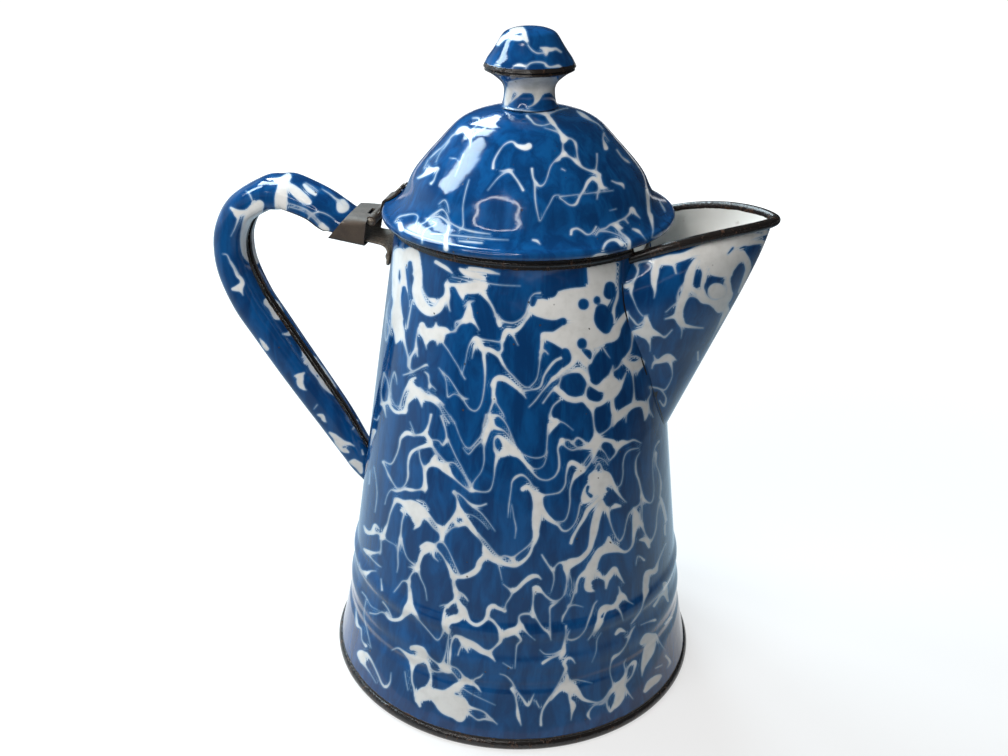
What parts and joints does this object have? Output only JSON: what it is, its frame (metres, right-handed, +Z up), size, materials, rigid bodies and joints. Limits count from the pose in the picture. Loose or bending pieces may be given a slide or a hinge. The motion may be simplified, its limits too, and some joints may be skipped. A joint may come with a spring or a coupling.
{
  "type": "enamel coffee pot with hinged lid",
  "caption": "Tapered sheet-steel coffee pot in blue and white swirl enamel, with a pouring lip spout, a rolled channel handle and a domed lid that hinges at the handle.",
  "frame": {"origin": "centre of the overall box, on the surface the pot stands on", "axes": "+Z up, +X towards the spout, handle and hinge towards -X"},
  "size_m": [0.2118, 0.1502, 0.2531],
  "materials": {
    "blue_enamel": "glossy blue enamel with white swirls, white inside",
    "white_enamel": "glossy off-white enamel with wear",
    "black_enamel": "black enamel, chipped and rusty at the edge",
    "aged_tin": "dark, stained tinned iron",
    "iron_wire": "bare iron"
  },
  "bodies": {
    "pot": {"body_shell": "blue_enamel", "base_plate": "black_enamel", "body_rim_wire": "iron_wire", "spout_shell": "blue_enamel", "spout_rim_wire": "iron_wire", "handle_shell": "blue_enamel", "handle_clip": "aged_tin", "handle_bracket": "aged_tin", "bracket_rivet_left": "aged_tin", "bracket_rivet_right": "aged_tin", "clip_rivet": "aged_tin", "hinge_pin": "aged_tin"},
    "lid": {"lid_shell": "blue_enamel", "lid_collar": "white_enamel", "lid_hinge_leaf": "aged_tin", "leaf_rivet_left": "aged_tin", "leaf_rivet_right": "aged_tin", "knob_neck": "blue_enamel", "knob_cap": "blue_enamel", "knob_washer": "iron_wire", "knob_rivet": "iron_wire"}
  },
  "joints": [
    {"name": "lid_hinge", "type": "hinge", "parent": "pot", "child": "lid", "pos_m": [-0.0411, 0, 0.1822], "axis": [0, -1, 0], "range_deg": [0, 95]}
  ]
}
